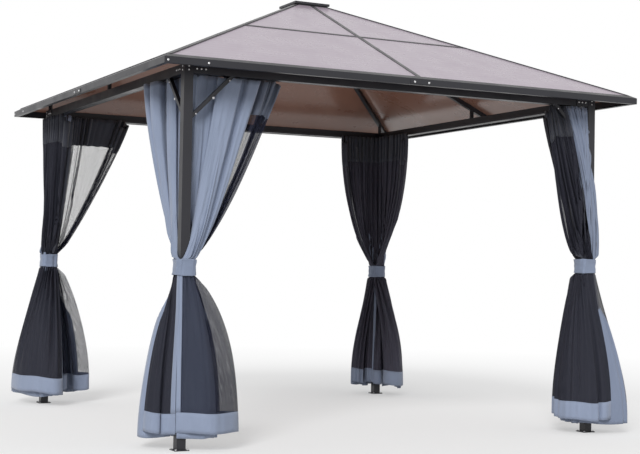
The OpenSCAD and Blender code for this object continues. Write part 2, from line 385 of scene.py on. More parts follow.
# Cloth further in than this hangs behind the track's foot, and starts that much higher.
TRACK_BACK = 0.038
TRACK_RISE = 0.013

# Where the hems' plan lines below reach to, and up to where they stay as they are when drawn elsewhere.
SKIRT = 0.33
HEM_START = 0.05
# The same two for the lines at the track, and how the two surfaces differ: points across, gathers, hooks
# along the top, droop of its far corner, the share of the gathers that smooth stretches lose, how uneven
# the lines at the track and the hem are, and the hem's lowest place and its rise.
PARTS = {
    "cloth": {"reach": 0.43, "start": 0.036, "cols": 220, "waves": 16, "hooks": 9, "droop": 0.0,
              "calm": 0.95, "top_wander": 0.0025, "hem_wander": 0.006, "hem_up": 0.002, "hem_rise": 0.016},
    "net": {"reach": 0.56, "start": 0.040, "cols": 240, "waves": 18, "hooks": 11, "droop": 0.05,
            "calm": 0.80, "top_wander": 0.003, "hem_wander": 0.005, "hem_up": 0.026, "hem_rise": 0.018},
}

# Plan lines in a corner's frame: share of the cloth's width, then metres along the side and across it.
# At the track, in the tieback, and at the hem.
CLOTH_TOP = [
    (0, .036, .028), (.05, .070, .034), (.10, .105, .048), (.15, .145, .064), (.185, .170, .068),
    (.215, .185, .046), (.24, .195, .024), (.27, .214, .012), (.31, .238, .007), (.385, .302, .010),
    (.41, .318, .026), (.43, .305, .044), (.47, .262, .052), (.51, .228, .060), (.55, .262, .074),
    (.59, .305, .078), (.62, .338, .074), (.645, .352, .050), (.67, .362, .026), (.70, .382, .014),
    (.73, .410, .013), (.76, .430, .026), (.785, .426, .046), (.83, .385, .055), (.87, .345, .060),
    (.90, .335, .074), (.94, .372, .080), (1, .415, .072),
]
CLOTH_TOP_PLEATS = [
    (0, .036, .066), (.05, .075, .060), (.10, .120, .055), (.14, .165, .060), (.18, .215, .075),
    (.22, .250, .045), (.26, .235, .012), (.31, .268, .000), (.355, .300, .014), (.385, .305, .050),
    (.43, .300, .085), (.48, .345, .092), (.52, .362, .055), (.555, .360, .012), (.61, .392, -.006),
    (.665, .422, .010), (.70, .425, .050), (.74, .425, .088), (.79, .465, .092), (.83, .486, .055),
    (.86, .482, .010), (.91, .510, -.008), (.96, .542, .010), (1, .550, .060),
]
CLOTH_TOP_SASH = [
    (0, .050, -.020), (.12, .068, -.034), (.22, .062, -.014), (.34, .100, -.034), (.46, .092, -.014),
    (.60, .135, -.034), (.70, .125, -.014), (.84, .170, -.034), (.92, .166, -.014), (1, .185, -.018),
]
CLOTH_TIE = [
    (0, .031, .040), (.10, .031, .000), (.17, .030, -.027), (.21, .008, -.0335), (.25, -.028, -.0345),
    (.29, -.012, -.0380), (.35, .018, -.0385), (.40, .036, -.0370), (.43, .034, -.0300),
    (.50, .030, -.0290), (.56, .045, -.022), (.62, .050, -.020), (.65, .052, -.030), (.70, .058, -.012),
    (.76, .0585, .018), (.80, .0580, .044), (.85, .050, .052), (.90, .046, .028), (.95, .042, .000),
    (1, .040, .025),
]
CLOTH_TIE_OUT = [
    (0, .029, -.032), (.15, .012, -.0345), (.35, -.016, -.0345), (.50, -.030, -.030), (.60, -.0365, -.022),
    (.70, -.0330, -.0330), (.85, -.010, -.0385), (1, .014, -.0385),
]
CLOTH_TIE_BACK = [
    (0, .030, .012), (.20, .030, -.006), (.38, .030, -.028), (.52, .000, -.0320), (.66, -.026, -.0330),
    (.80, .000, -.0350), (.90, .034, -.0330), (1, .034, .004),
]
CLOTH_LOW = [
    (0, -.026, -.0325), (.06, .010, -.0335), (.12, .044, -.030), (.20, .052, -.022), (.30, .055, .000),
    (.42, .055, .036), (.50, .053, .050), (.58, .048, .044), (.66, .048, .020), (.74, .046, -.014),
    (.80, .041, -.016), (.86, .040, .012), (.92, .039, .032), (1, .034, .010),
]
CLOTH_HEM = [
    (0, -.030, -.032), (.04, .016, -.044), (.08, .055, -.075), (.12, .090, -.108), (.19, .140, -.104),
    (.26, .190, -.072), (.32, .155, -.042), (.38, .172, -.008), (.44, .212, .012), (.50, .175, .046),
    (.57, .130, .030), (.64, .100, -.025), (.70, .070, -.005), (.77, .082, .040), (.85, .125, .060),
    (.92, .105, .085), (1, .075, .060),
]
CLOTH_HEM_OUT = [
    (0, .034, -.040), (.05, .050, -.075), (.10, .075, -.112), (.15, .098, -.165), (.20, .150, -.182),
    (.26, .225, -.152), (.33, .295, -.095), (.40, .326, -.020), (.46, .290, .030), (.53, .225, .000),
    (.60, .165, -.040), (.67, .105, -.030), (.74, .090, .020), (.82, .150, .035), (.88, .190, .050),
    (.94, .130, .090), (1, .075, .060),
]
CLOTH_HEM_BACK = [
    (0, -.140, -.150), (.10, -.060, -.165), (.20, .030, -.165), (.30, .120, -.140), (.40, .200, -.105),
    (.50, .262, -.062), (.58, .200, -.078), (.66, .130, -.095), (.74, .070, -.085), (.82, .050, -.052),
    (.90, .090, -.042), (1, .050, -.030),
]
CLOTH_HEM_ROUND = [
    (0, -.172, -.178), (.05, -.130, -.172), (.11, -.060, -.150), (.15, -.010, -.146), (.20, .065, -.142),
    (.27, .135, -.112), (.34, .200, -.068), (.41, .240, -.020), (.48, .240, .030), (.55, .180, .010),
    (.62, .130, -.040), (.69, .080, -.050), (.76, .075, .010), (.83, .120, .050), (.90, .150, .080),
    (.95, .110, .092), (1, .075, .060),
]
NET_TOP = [
    (0, .050, .082), (.05, .078, .104), (.08, .090, .080), (.13, .112, .106), (.17, .128, .080),
    (.22, .152, .106), (.26, .168, .080), (.31, .190, .104), (.35, .208, .078), (.40, .232, .098),
    (.44, .250, .066), (.48, .275, .084), (.53, .320, .080), (.60, .390, .074), (.66, .450, .068),
    (.69, .485, .052), (.72, .498, .090), (.75, .508, .050), (.78, .520, .092), (.81, .530, .050),
    (.84, .545, .090), (.87, .560, .056), (.90, .568, .075), (.94, .550, .096), (1, .500, .098),
]
NET_TOP_OUT = [
    (0, -.034, -.030), (.04, -.010, -.042), (.09, .022, -.030), (.13, .050, -.046), (.18, .080, -.028),
    (.23, .110, -.046), (.29, .145, -.028), (.35, .182, -.044), (.41, .218, -.026), (.47, .255, -.042),
    (.52, .290, -.026), (.57, .325, -.040), (.62, .360, -.024), (.68, .400, -.036), (.74, .440, -.018),
    (.80, .475, -.030), (.86, .510, -.010), (.92, .545, -.014), (.96, .560, .020), (1, .530, .050),
]
NET_TOP_DENSE = [
    (0, .044, .044), (.04, .052, .100), (.08, .085, .056), (.12, .110, .100), (.16, .135, .052),
    (.20, .160, .102), (.24, .185, .052), (.28, .210, .100), (.32, .235, .052), (.36, .260, .100),
    (.40, .285, .052), (.44, .310, .100), (.48, .335, .052), (.52, .360, .100), (.56, .385, .052),
    (.60, .410, .100), (.64, .435, .052), (.68, .460, .098), (.72, .485, .052), (.76, .510, .098),
    (.80, .530, .055), (.84, .550, .095), (.88, .560, .060), (.93, .548, .096), (1, .500, .098),
]
NET_TOP_SIDE = [
    (0, .320, .010), (.06, .330, -.020), (.12, .350, .010), (.18, .340, -.020), (.24, .365, .020),
    (.30, .380, -.010), (.36, .405, .040), (.42, .400, .018), (.48, .430, .048), (.54, .445, .018),
    (.60, .465, .048), (.66, .460, .018), (.72, .490, .048), (.78, .505, .018), (.84, .525, .048),
    (.90, .550, .020), (.95, .560, .040), (1, .540, .060),
]
NET_TIE = [
    (0, .032, .045), (.10, .034, .010), (.20, .038, -.018), (.30, .050, -.020), (.40, .054, .000),
    (.50, .054, .026), (.60, .053, .046), (.70, .047, .042), (.80, .047, .015), (.90, .042, .000),
    (1, .040, .030),
]
NET_TIE_SIDE = [
    (0, .050, .040), (.10, .057, .010), (.20, .055, -.020), (.30, .045, -.034), (.45, .010, -.0385),
    (.58, -.018, -.0385), (.70, .015, -.0375), (.80, .043, -.034), (.90, .055, .000), (1, .050, .030),
]
NET_LOW = [
    (0, -.034, -.0340), (.03, -.012, -.0385), (.12, .036, -.0370), (.19, .054, -.025), (.28, .059, -.003),
    (.40, .059, .034), (.50, .055, .052), (.60, .048, .042), (.70, .047, .010), (.80, .042, -.014),
    (.90, .039, .010), (1, .039, .030),
]
NET_LOW_ROUND = [(0, -.034, -.0355), (.025, -.012, -.0390), (.06, .010, -.0385)] + NET_LOW[2:]
NET_LOW_INNER = NET_LOW[:-2] + [(.92, .050, .034), (1, .034, .056)]
NET_HEM = [
    (0, -.038, -.036), (.03, -.010, -.050), (.06, .040, -.096), (.12, .112, -.150), (.20, .205, -.128),
    (.27, .288, -.080), (.32, .328, -.022), (.37, .324, .042), (.43, .262, .070), (.48, .205, .050),
    (.54, .235, -.010), (.60, .180, -.060), (.66, .110, -.085), (.72, .070, -.045), (.78, .115, -.010),
    (.84, .175, .020), (.90, .150, .060), (.95, .105, .085), (1, .085, .060),
]
NET_HEM_SPLIT = [
    (0, -.036, -.040), (.03, -.004, -.062), (.07, .022, -.100), (.10, .045, -.092), (.125, .006, -.108),
    (.16, .016, -.146), (.20, .060, -.172), (.24, .100, -.172), (.29, .150, -.138), (.36, .230, -.095),
    (.43, .292, -.040), (.50, .300, .030), (.56, .235, .055), (.62, .180, .020), (.68, .200, -.030),
    (.74, .130, -.065), (.80, .080, -.045), (.86, .110, .010), (.92, .160, .045), (.96, .110, .088),
    (1, .085, .060),
]
NET_HEM_ROUND = [
    (0, -.172, -.176), (.05, -.110, -.186), (.10, -.030, -.188), (.16, .050, -.184), (.22, .125, -.160),
    (.29, .215, -.120), (.36, .296, -.070), (.41, .326, -.010), (.46, .300, .050), (.52, .235, .060),
    (.58, .185, .020), (.64, .215, -.030), (.70, .150, -.070), (.76, .085, -.060), (.82, .100, .000),
    (.89, .160, .040), (.95, .110, .088), (1, .085, .060),
]
NET_HEM_INNER = NET_HEM_ROUND[:-3] + [(.89, .160, .040), (.95, .122, .078), (1, .070, .106)]
NET_HEM_NARROW = [(0, -.072, -.148), (.04, -.060, -.168), (.075, -.030, -.182), (.105, .004, -.186),
                  (.125, .018, -.154), (.140, .030, -.150)] + NET_HEM_ROUND[3:]

# Stretches of the cloth's width that stay smooth, above and below the tieback; the rest takes up the gathers.
CLOTH_QUIET = ([(.24, .43), (.64, .78)], [(.04, .30)])
CLOTH_QUIET_WIDE = ([(.05, .20), (.24, .43), (.64, .78)], [(.04, .30)])
CLOTH_QUIET_PLEATS = ([(.05, .16), (.25, .37), (.55, .69), (.85, .97)], [(.04, .30)])
NET_QUIET = ([(.50, .67)], [(.0, .42)])
NET_QUIET_LOW = ([], [(.0, .42)])
NET_BUSY = ([], [])

# What a curtain is like unless the table under this one says otherwise:
# reach: how far along the track its cloth and its netting go; skirt: how far their hems do
# swell: how far the hanging part bellies outwards beyond the knee brace
# fullness: how late it spreads fully above the tieback, beside the post and at the far edge
# arched: whether it spreads most just above the tieback
# bell: how late the skirt spreads below the tieback
# cloth_within: how far inwards the cloth may come
# net_over: whether the netting lies over the cloth beside the post
# edge_strip: width of the netting's edge bands; pale_edge: the one below the tieback that is blue-grey
# pale_header: whether the header is of the paler cloth, the blue-grey fabric darkened with painted shade,
# rather than the dark one
USUAL = {
    "cloth_reach": 0.24, "net_reach": 0.54, "skirt": SKIRT, "swell": 0.0, "arched": False, "bell": 1.2,
    "cloth_fullness": (0.64, 0.76), "net_fullness": (0.64, 0.78), "cloth_within": 1.0, "net_over": False,
    "cloth_top": CLOTH_TOP, "cloth_tie": CLOTH_TIE, "cloth_low": CLOTH_LOW, "cloth_hem": CLOTH_HEM_ROUND,
    "net_top": NET_TOP, "net_tie": NET_TIE, "net_low": NET_LOW, "net_hem": NET_HEM_ROUND,
    "cloth_quiet": CLOTH_QUIET, "net_quiet": NET_QUIET, "fabric": FABRIC, "netting": NETTING,
    "edge_strip": 0.03, "pale_edge": None, "pale_header": False,
}
FRONT_LEFT = {"cloth_reach": 0.43, "bell": 1.0, "pale_edge": "net_edge_a", "pale_header": True}
BACK_RIGHT = {
    "cloth_tie": CLOTH_TIE_BACK, "cloth_hem": CLOTH_HEM_BACK, "cloth_within": 0.034, "net_top": NET_TOP_DENSE,
    "arched": True, "cloth_fullness": (0.82, 0.90), "net_fullness": (0.70, 0.76), "net_quiet": NET_BUSY,
    "netting": DENSE_LIT_NETTING,
}
CURTAINS = {
    "front_curtain_left": FRONT_LEFT | {
        "net_reach": 0.56, "cloth_hem": CLOTH_HEM, "net_hem": NET_HEM, "cloth_quiet": CLOTH_QUIET_WIDE,
        "net_quiet": NET_QUIET_LOW,
    },
    "left_curtain_front": FRONT_LEFT | {
        "net_reach": 0.50, "swell": 0.055, "cloth_top": CLOTH_TOP_PLEATS, "cloth_hem": CLOTH_HEM_OUT,
        "net_low": NET_LOW_ROUND, "net_hem": NET_HEM_SPLIT, "cloth_fullness": (0.42, 0.54),
        "net_fullness": (0.42, 0.54), "cloth_quiet": CLOTH_QUIET_PLEATS, "netting": DENSE_SHADED_NETTING,
    },
    "right_curtain_front": {
        "cloth_reach": 0.14, "net_reach": 0.34, "skirt": 0.30, "cloth_tie": CLOTH_TIE_BACK,
        "cloth_within": 0.05, "net_quiet": NET_BUSY, "netting": DENSE_SHADED_NETTING,
    },
    "front_curtain_right": {
        "cloth_reach": 0.43, "net_reach": 0.27, "skirt": 0.21, "cloth_top": CLOTH_TOP_SASH,
        "cloth_tie": CLOTH_TIE_OUT, "net_top": NET_TOP_SIDE, "net_tie": NET_TIE_SIDE,
        "net_low": NET_LOW_ROUND, "net_hem": NET_HEM_NARROW, "cloth_fullness": (2.2, 1.7),
        "net_fullness": (1.9, 0.49), "net_over": True, "fabric": SHADED_FABRIC, "netting": DENSE_SHADED_NETTING,
    },
    "back_curtain_right": BACK_RIGHT | {
        "cloth_reach": 0.29, "net_reach": 0.37, "skirt": 0.20, "net_low": NET_LOW_INNER,
        "net_hem": NET_HEM_INNER, "pale_edge": "net_edge_b", "edge_strip": 0.05,
    },
    "right_curtain_back": BACK_RIGHT | {"cloth_reach": 0.45, "net_reach": 0.56},
    "left_curtain_back": {
        "cloth_reach": 0.18, "net_reach": 0.42, "net_top": NET_TOP_OUT, "cloth_tie": CLOTH_TIE_BACK,
        "net_tie": CLOTH_TIE, "net_low": NET_LOW_ROUND, "net_fullness": (0.44, 0.56),
        "net_quiet": NET_BUSY, "netting": DENSE_SHADED_NETTING,
    },
    "back_curtain_left": {
        "cloth_reach": 0.14, "net_reach": 0.53, "cloth_tie": CLOTH_TIE_BACK, "cloth_hem": CLOTH_HEM_BACK,
        "cloth_within": 0.05, "netting": CLEAR_NETTING,
    },
}


# ---------------------------------------------------------------- plan lines
def smooth_line(points, count, rounds=3):
    """A smooth plan line through (share of the cloth's width, u, v) points, at count even shares."""
    p = np.array(points, float)
    for _ in range(rounds):
        cut = np.stack([0.75 * p[:-1] + 0.25 * p[1:], 0.25 * p[:-1] + 0.75 * p[1:]], 1)
        p = np.vstack([p[:1], cut.reshape(-1, 3), p[-1:]])
    want = np.linspace(0, 1, count)
    return np.stack([np.interp(want, p[:, 0], p[:, k]) for k in (1, 2)], 1)


def drawn_to(points, reach, usual, start):
    """A plan line whose part beyond start is drawn out, or in, so that it reaches another place."""
    share = (reach - start) / (usual - start)
    return [(a, u if u < start else start + (u - start) * share, v) for a, u, v in points]


def wander(points, rng, by):
    p = np.array(points, float)
    p[1:-1, 1:] += rng.uniform(-by, by, (len(p) - 2, 2))
    return p


def plan_lines(like, part, rng):
    """The part's plan lines at the track, at the tieback's top and foot, and at the hem."""
    made = PARTS[part]
    top = drawn_to(like[part + "_top"], like[part + "_reach"], made["reach"], made["start"])
    hem = drawn_to(like[part + "_hem"], like["skirt"], SKIRT, HEM_START)
    top, hem = wander(top, rng, made["top_wander"]), wander(hem, rng, made["hem_wander"])
    return [smooth_line(p, made["cols"]) for p in (top, like[part + "_tie"], like[part + "_low"], hem)]


def uneven_wave(a, waves, rng):
    """A wave of uneven length and height across the cloth."""
    drift = 0.018 * np.sin(math.tau * (2.3 * a + rng.random()))
    drift = drift + 0.008 * np.sin(math.tau * (5.1 * a + rng.random()))
    height = 1 + 0.35 * np.sin(math.tau * (3.7 * a + rng.random()))
    return np.sin(math.tau * waves * (a + drift)) * height


def smooth_step(x):
    x = np.clip(x, 0, 1)
    return x * x * (3 - 2 * x)


def looseness(a, quiet, calm):
    """1 where the cloth takes up gathers, less by calm over its smooth stretches, 0 at both edges."""
    loose = smooth_step(np.minimum(a, 1 - a) / EDGE_EASE)
    for start, end in quiet:
        after = smooth_step((a - start) / QUIET_EASE + 0.5)
        before = smooth_step((end - a) / QUIET_EASE + 0.5)
        inside = after * before
        loose = loose * (1 - calm * inside)
    return loose


def normals(plan):
    along = np.gradient(plan, axis=0)
    along /= np.maximum(np.linalg.norm(along, axis=1), 1e-9)[:, None]
    return np.stack([-along[:, 1], along[:, 0]], 1)


def gather(plan, wave):
    """Folds the line by wave until it is as long as the cloth's rows are, or its folds are deepest."""
    side = normals(plan)
    low, high = 0.0, DEEPEST
    for _ in range(9):
        size = (low + high) / 2
        length = np.linalg.norm(np.diff(plan + side * (wave * size)[:, None], axis=0), axis=1).sum()
        low, high = (size, high) if length < CLOTH_LINE else (low, size)
    return plan + side * (wave * low)[:, None]


def swayed(plan, a, s, phase):
    """A slow sway that dies out at the tieback; s is the share of the height above it, less than 0 below."""
    sway = np.sin(phase[0] + 9 * a + 3.6 * s) * np.sin(phase[1] + 3.1 * s + 5 * a)
    return plan + normals(plan) * (SWAY * min(1, 5 * abs(s)) * sway)[:, None]


def swelling(s):
    """Share of the swell at share s of the height above the tieback: most a little under the track."""
    return np.sin(math.pi * min(1, s / 1.35) ** 1.6)


def held_in(plan, away):
    """Keeps the line inside the round-cornered tieback, widened by away, and out of the post."""
    middle = (BAND_LOW + BAND_HIGH) / 2
    flat = (BAND_HIGH - BAND_LOW) / 2 - BAND_ROUND
    core = np.clip(plan - middle, -flat, flat)
    over = plan - middle - core
    length = np.maximum(np.linalg.norm(over, axis=1), 1e-9)
    over *= np.minimum(1, (BAND_ROUND - BAND_SKIN + away) / length)[:, None]
    plan = middle + core + over
    limit = POST_HALF + POST_GAP
    u, v = plan[:, 0], plan[:, 1]
    inside = (np.abs(u) < limit) & (np.abs(v) < limit)
    to_right = inside & (limit - u < limit + v)
    return np.stack([np.where(to_right, limit, u), np.where(inside & ~to_right, -limit, v)], 1)


def tucked(r, bell):
    """How far the cloth may stand out of the tieback, under the netting, at share r of the height below."""
    slow = (bell - 1) / 0.2
    return WIDENING * r ** (1.65 + 0.3 * slow) - TUCK * (1 + 2 * slow * min(1, 6 * r))


def laid_over(plan, s, is_cloth):
    """Beside the post and low above the tieback, keeps the cloth under the netting laid over it."""
    plan = plan.copy()
    if is_cloth:
        plan[:, 1] = np.maximum(plan[:, 1], CLOTH_UNDER)
    else:
        free = np.maximum(smooth_step((plan[:, 0] - 0.07) / 0.05), smooth_step((s - 0.45) / 0.2))
        plan[:, 1] = np.minimum(plan[:, 1], NET_OUTSIDE + 0.2 * free)
    return plan


# ---------------------------------------------------------------- cloth surfaces
def steps(*stops):
    """Row places through (value, rows to it) stops, without repeats."""
    out = [stops[0][0]]
    for (a, _), (b, n) in zip(stops, stops[1:]):
        out += list(np.linspace(a, b, n + 1)[1:])
    return np.array(out)


def ups(tie_high):
    """Row places above the tieback, from it to the track."""
    header = 1 - HEADER_BAND / (CURTAIN_TOP - tie_high)
    return steps((0, 0), (0.06, 5), (0.25, 7), (header, 14), (1, HEADER_ROWS - 1))


def downs(tie_low):
    """Row places below the tieback, from it to the hem."""
    hem = 1 - HEM_BAND / (tie_low - HEM_LOW - HEM_UNEVEN)
    return steps((0, 0), (0.08, 5), (0.3, 7), (hem, 14), (1, HEM_ROWS - 1))


def gathered(lines, z_top, z_hem, ties, like, part, rng):
    """Surface of a curtain that hangs from its top line, is drawn in by the tieback and spreads to its hem.
    The fabric stays tucked in under the netting that lies over it below the tieback.
    Returns points (rows, cols, 3) in the corner's frame, from the top row down."""
    top, tie, low, hem = lines
    tie_low, tie_high = ties
    a = np.linspace(0, 1, len(top))
    wave = uneven_wave(a, PARTS[part]["waves"], rng)
    phase = rng.random(4) * math.tau
    above, below = (wave * looseness(a, quiet, PARTS[part]["calm"]) for quiet in like[part + "_quiet"])
    rise = np.interp(top[:, 0], (top[:, 0].min(), top[:, 0].max()), like[part + "_fullness"])
    drop = like["bell"] - FLARE * np.clip(hem[:, 0] / SKIRT, 0, 1)
    past_brace = smooth_step((top[:, 0] - BRACE_END) / 0.08)
    is_cloth = part == "cloth"
    late = LATE if is_cloth and like["cloth_within"] < 1 else 1
    rows = []
    for s in ups(tie_high)[::-1]:
        drawn = np.sin(math.pi / 2 * s ** rise) if like["arched"] else s ** rise
        plan = gather(swayed(tie + (top - tie) * drawn[:, None], a, s, phase), above)
        plan[:, 1] -= like["swell"] * past_brace * swelling(s)
        if is_cloth:
            plan[:, 1] = np.minimum(plan[:, 1], like["cloth_within"])
        if like["net_over"]:
            plan = laid_over(plan, s, is_cloth)
        plan = held_in(plan, WIDENING * s ** late)
        behind = TRACK_RISE * smooth_step((plan[:, 1] - TRACK_BACK) / 0.012)
        rows.append((plan, tie_high + (z_top - tie_high) * s + behind * s ** 12))
    for k in (0.75, 0.5, 0.25):
        plan = gather(low + (tie - low) * k, above * k + below * (1 - k))
        height = np.full(len(a), tie_low + (tie_high - tie_low) * k)
        rows.append((held_in(plan, -TUCK if is_cloth else 0), height))
    for r in downs(tie_low):
        drawn = np.sin(math.pi / 2 * r ** drop)
        plan = gather(swayed(low + (hem - low) * drawn[:, None], a, -r, phase), below)
        away = tucked(r, like["bell"]) if is_cloth else WIDENING * r
        rows.append((held_in(plan, away), tie_low - (tie_low - z_hem) * r))
    return np.array([np.column_stack(row) for row in rows])


def cloth_mesh(name, points, rows, cols, corner, mirrored, mat):
    """Part of a surface as a piece: rows and cols are slices of its grid."""
    total_cols = points.shape[1]
    grid = points[rows, cols]
    u = np.linspace(0, SHEET_WIDTH, total_cols)[cols]
    w = points[rows, total_cols // 2, 2]
    verts = grid.reshape(-1, 3).copy()
    if mirrored:
        verts[:, [0, 1]] = verts[:, [1, 0]]
    uvs = np.stack(np.meshgrid(u, w), -1).reshape(-1, 2)
    faces = grid_faces(*grid.shape[:2], (3, 2, 1, 0) if mirrored else (0, 1, 2, 3))
    return piece_of_cloth(name, verts, faces, uvs, mat, corner)


def wavy(cols, rng, low, rise):
    """Heights of a hem, from low to low + rise along the cloth's width."""
    a = np.linspace(0, 1, cols)
    swing = np.sin(math.tau * (1.7 * a + rng.random()))
    swing = swing + 0.6 * np.sin(math.tau * (4.1 * a + rng.random()))
    return low + rise * (0.5 + 0.31 * swing)


def hooked(cols, hooks):
    """Heights of a top edge that sags a little between its hooks."""
    return CURTAIN_TOP - 0.003 * (1 - np.cos(math.tau * hooks * np.linspace(0, 1, cols)))


# ---------------------------------------------------------------- curtains
WHOLE = slice(None)


def surface(part, corner, like, rng):
    """The grid of points of a curtain's cloth or netting."""
    made = PARTS[part]
    cols = made["cols"]
    lines = plan_lines(like, part, rng)
    far = np.clip((np.linspace(0, 1, cols) - 0.80) / 0.12, 0, 1)
    z_top = hooked(cols, made["hooks"]) - made["droop"] * far ** 2
    z_hem = wavy(cols, rng, HEM_LOW + made["hem_up"], made["hem_rise"])
    return gathered(lines, z_top, z_hem, tie_heights(corner), like, part, rng)


def make_trims(name, corner, mirrored, like, points):
    """Hem, header and edge bands: parts of the netting's own surface, thicker than it."""
    strip = round(like["edge_strip"] / SHEET_WIDTH * points.shape[1]) + 1
    tie_row = len(ups(tie_heights(corner)[1])) + 1
    above = slice(HEADER_ROWS - 1, tie_row + 1)
    below = slice(tie_row, 1 - HEM_ROWS)
    near, far = slice(0, strip), slice(-strip, None)
    header = SHADED_HEADER_FABRIC if like["pale_header"] else DARK_FABRIC
    edges = {"net_edge_a": DARK_FABRIC, "net_edge_b": DARK_FABRIC} | {like["pale_edge"]: FABRIC}
    trims = []
    for part, rows, across, mat in (
        ("net_hem", slice(-HEM_ROWS, None), WHOLE, FABRIC),
        ("net_header", slice(0, HEADER_ROWS), WHOLE, header),
        ("net_edge_a", below, near, edges["net_edge_a"]),
        ("net_edge_b", below, far, edges["net_edge_b"]),
        ("net_edge_a_upper", above, near, DARK_FABRIC),
        ("net_edge_b_upper", above, far, DARK_FABRIC),
    ):
        trim = cloth_mesh(f"{name}_{part}", points, rows, across, corner, mirrored, mat)
        trims.append(thicken(trim, TRIM_THICKNESS))
    return trims


def make_curtain(name, corner, mirrored, seed):
    """One curtain: cloth gathered on the track, and netting with its trims over or beside it."""
    rng = np.random.default_rng(seed)
    like = USUAL | CURTAINS[name]
    points = surface("cloth", corner, like, rng)
    cloth = cloth_mesh(name + "_cloth", points, WHOLE, WHOLE, corner, mirrored, like["fabric"])
    thicken(cloth, CLOTH_THICKNESS)
    points = surface("net", corner, like, rng)
    net = cloth_mesh(name + "_net", points, WHOLE, WHOLE, corner, mirrored, like["netting"])
    trims = make_trims(name, corner, mirrored, like, points)
    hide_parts(name)


# ---------------------------------------------------------------- tiebacks
TIE_LENGTH = 0.42


def band_line(cols):
    """The tieback's round-cornered plan line, and the way out of it at each point."""
    near, far, r = BAND_LOW + BAND_ROUND, BAND_HIGH - BAND_ROUND, BAND_ROUND
    ring = []
    for cx, cy, start in ((far, far, 0), (near, far, 90), (near, near, 180), (far, near, 270)):
        for k in range(13):
            t = math.radians(start + 90 * k / 12)
            ring.append((cx + r * math.cos(t), cy + r * math.sin(t)))
    ring.append(ring[0])
    line = smooth_line([(k / (len(ring) - 1), *p) for k, p in enumerate(ring)], cols, 1)
    along = np.gradient(line, axis=0)
    along[0] = along[-1] = line[1] - line[-2]
    along /= np.linalg.norm(along, axis=1)[:, None]
    return line, np.stack([along[:, 1], -along[:, 0]], 1)


def make_tieback(corner, seed):
    """A band round the bundle, waisted a little, with soft folds and wavy edges."""
    rng = np.random.default_rng(seed)
    cols, rows = 121, 13
    line, out = band_line(cols)
    a = np.linspace(0, 1, cols)
    phase = rng.random(8) * math.tau
    tie_low, tie_high = tie_heights(corner)
    height = tie_high - tie_low
    verts, uvs = [], []
    for w in (j / (rows - 1) for j in range(rows)):
        z = tie_low + height * w
        waist = 0.0035 * (2 * w - 1) ** 2 - 0.002
        fold = 0.0020 * np.sin(math.tau * 3 * a + phase[0] + 5 * w) * np.sin(phase[1] + 7 * w)
        twist = 2 * np.sin(math.tau * a + phase[3])
        fold = fold + 0.0016 * np.sin(math.tau * 7 * a + phase[2] - 3 * w + twist)
        wave = 0.0022 * np.sin(math.tau * 2 * a + phase[4]) * (2 * w - 1)
        plan = line + out * (waist + fold)[:, None]
        verts += [(x, y, z + dz) for (x, y), dz in zip(plan, wave)]
        uvs += [(t * TIE_LENGTH, w * height) for t in a]
    faces = grid_faces(rows, cols, (0, 3, 2, 1))
    name = "tie_band_" + CORNERS[corner]
    band = piece_of_cloth(name, verts, faces, uvs, SHADED_TIE_FABRIC, corner)
    thicken(band, TIE_THICKNESS)
    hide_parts("tieback_" + CORNERS[corner])


# ---------------------------------------------------------------- fasteners and brackets
# Radius and height of the screw heads.
SMALL_HEAD = (0.0045, 0.003)
EAVE_HEAD = (0.006, 0.003)
FOOT_HEAD = (0.0065, 0.0045)
BRACE_HEAD = (0.0075, 0.005)
# A head's outline, in shares of its radius and height: a dome with a socket.
HEAD_OUTLINE = [(1.0, 0.0), (1.0, 0.35), (0.93, 0.62), (0.74, 0.88), (0.5, 1.0), (0.42, 1.0), (0.40, 0.55)]
HEAD_SIDES = 12

FOOT_PLATE_TOP = 0.005
FOOT_BOLT_OUT = 0.0325
# Outer faces of the header and of the knee brace, across from the post's middle.
HEADER_FACE = -0.020
BRACE_FACE = -0.010
CLEAT_LENGTH = 0.085
CLEAT_THICKNESS = 0.0035
CLEAT_SCREWS = (0.020, 0.045, 0.070)
POST_SCREWS = (0.016, 0.036)
EAVE_PLATE_HALF = 0.07
EAVE_PLATE_THICKNESS = 0.003
EASED_EDGE = 0.0008


def screw_into(mesh, at, normal, head):
    """Adds a domed hex-socket head standing on a surface."""
    radius, height = head
    turn = Vector((0, 0, 1)).rotation_difference(Vector(normal)).to_matrix().to_4x4()
    place = Matrix.Translation(at) @ turn
    turns = [math.tau * k / HEAD_SIDES for k in range(HEAD_SIDES)]
    rings = []
    for share, rise in HEAD_OUTLINE:
        reach = radius * share
        ring = [Vector((reach * math.cos(t), reach * math.sin(t), height * rise)) for t in turns]
        rings.append([mesh.verts.new(place @ point) for point in ring])
    for low, high in zip(rings, rings[1:]):
        for k in range(HEAD_SIDES):
            after = (k + 1) % HEAD_SIDES
            mesh.faces.new((low[k], low[after], high[after], high[k]))
    mesh.faces.new(rings[-1])
    mesh.faces.new(rings[0][::-1])


def plate_into(mesh, low, high, bevel):
    """Adds a thin plate with eased edges between two corners."""
    low, high = Vector(low), Vector(high)
    place = Matrix.Translation((low + high) / 2) @ Matrix.Diagonal((*(high - low), 1))
    made = bmesh.ops.create_cube(mesh, size=1.0, matrix=place)
    edges = {e for v in made["verts"] for e in v.link_edges}
    bmesh.ops.bevel(mesh, geom=list(edges), offset=bevel, segments=2, affect="EDGES", profile=0.5)


